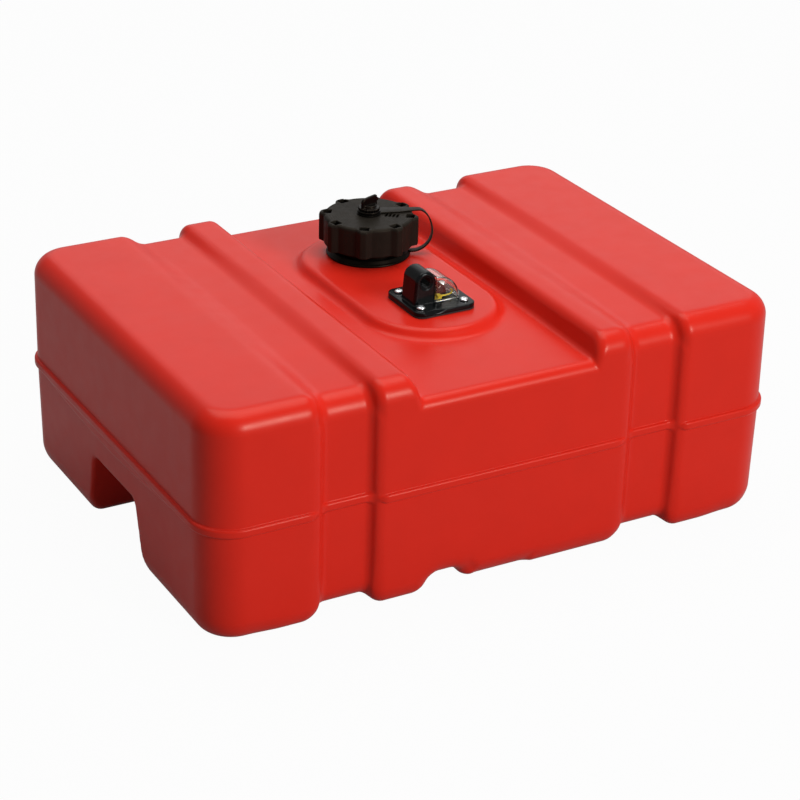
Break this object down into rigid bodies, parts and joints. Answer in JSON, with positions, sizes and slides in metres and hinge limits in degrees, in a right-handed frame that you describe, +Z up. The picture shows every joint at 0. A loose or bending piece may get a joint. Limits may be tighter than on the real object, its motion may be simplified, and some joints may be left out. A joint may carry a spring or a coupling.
{
  "type": "outboard fuel tank",
  "caption": "Red moulded portable outboard fuel tank with strap grooves, end hand-holds, tethered vented filler cap and a sender plate with fuel outlet and float gauge.",
  "frame": {"origin": "middle of the footprint, on the floor that the tank stands on", "axes": "+X along the length, +Z up; the long front face with the fuel outlet looks to -Y"},
  "size_m": [0.645, 0.466, 0.2882],
  "materials": {
    "tank_red": "moulded satin",
    "cap_black": "satin",
    "rubber_black": "matte",
    "plate_black": "gloss",
    "zinc_steel": "bright zinc plate",
    "clear_acrylic": "clear, polished",
    "pointer_yellow": "satin",
    "wire_steel": "drawn wire",
    "pin_brass": "turned",
    "float_black": "closed-cell foam",
    "nylon_natural": "natural nylon"
  },
  "bodies": {
    "tank": {"tank_shell": "tank_red", "tether_ring": "cap_black", "tether_strap": "cap_black", "sender_plate": "plate_black", "sender_gasket": "rubber_black", "plate_screw_1": "zinc_steel", "plate_screw_2": "zinc_steel", "plate_screw_3": "zinc_steel", "plate_screw_4": "zinc_steel", "gauge_lens": "clear_acrylic", "gauge_dial": "plate_black", "gauge_pin": "pin_brass", "pickup_tube": "nylon_natural", "pickup_filter": "nylon_natural"},
    "cap_carrier": {"tether_eye": "cap_black"},
    "cap": {"cap_shell": "cap_black", "cap_insert": "cap_black", "cap_gasket": "rubber_black", "vent_bush": "cap_black"},
    "vent_carrier": {"vent_seal": "rubber_black"},
    "vent_screw": {"vent_knob": "cap_black"},
    "gauge": {"gauge_pointer": "pointer_yellow", "float_arm": "wire_steel", "float": "float_black", "float_clip": "wire_steel"}
  },
  "joints": [
    {"name": "cap_lift", "type": "slide", "parent": "tank", "child": "cap_carrier", "axis": [0, 0, 1], "range_m": [0, 0.01], "deforming": ["tether_strap"]},
    {"name": "cap_turn", "type": "hinge", "parent": "cap_carrier", "child": "cap", "pos_m": [0.014, 0.088, 0.2699], "axis": [0, 0, 1], "range_deg": [0, 540]},
    {"name": "vent_lift", "type": "slide", "parent": "cap", "child": "vent_carrier", "axis": [0, 0, 1], "range_m": [0, 0.0032]},
    {"name": "vent_turn", "type": "hinge", "parent": "vent_carrier", "child": "vent_screw", "pos_m": [0.014, 0.088, 0.2608], "axis": [0, 0, 1], "range_deg": [0, 540]},
    {"name": "gauge_float", "type": "hinge", "parent": "tank", "child": "gauge", "pos_m": [0.012, -0.0605, 0.2295], "axis": [0, -1, 0], "range_deg": [0, 62]}
  ],
  "couplings": [
    {"joint": "cap_lift", "follows": "cap_turn", "m_per_rad": 0.00095493},
    {"joint": "vent_lift", "follows": "vent_turn", "m_per_rad": 0.00031831}
  ]
}
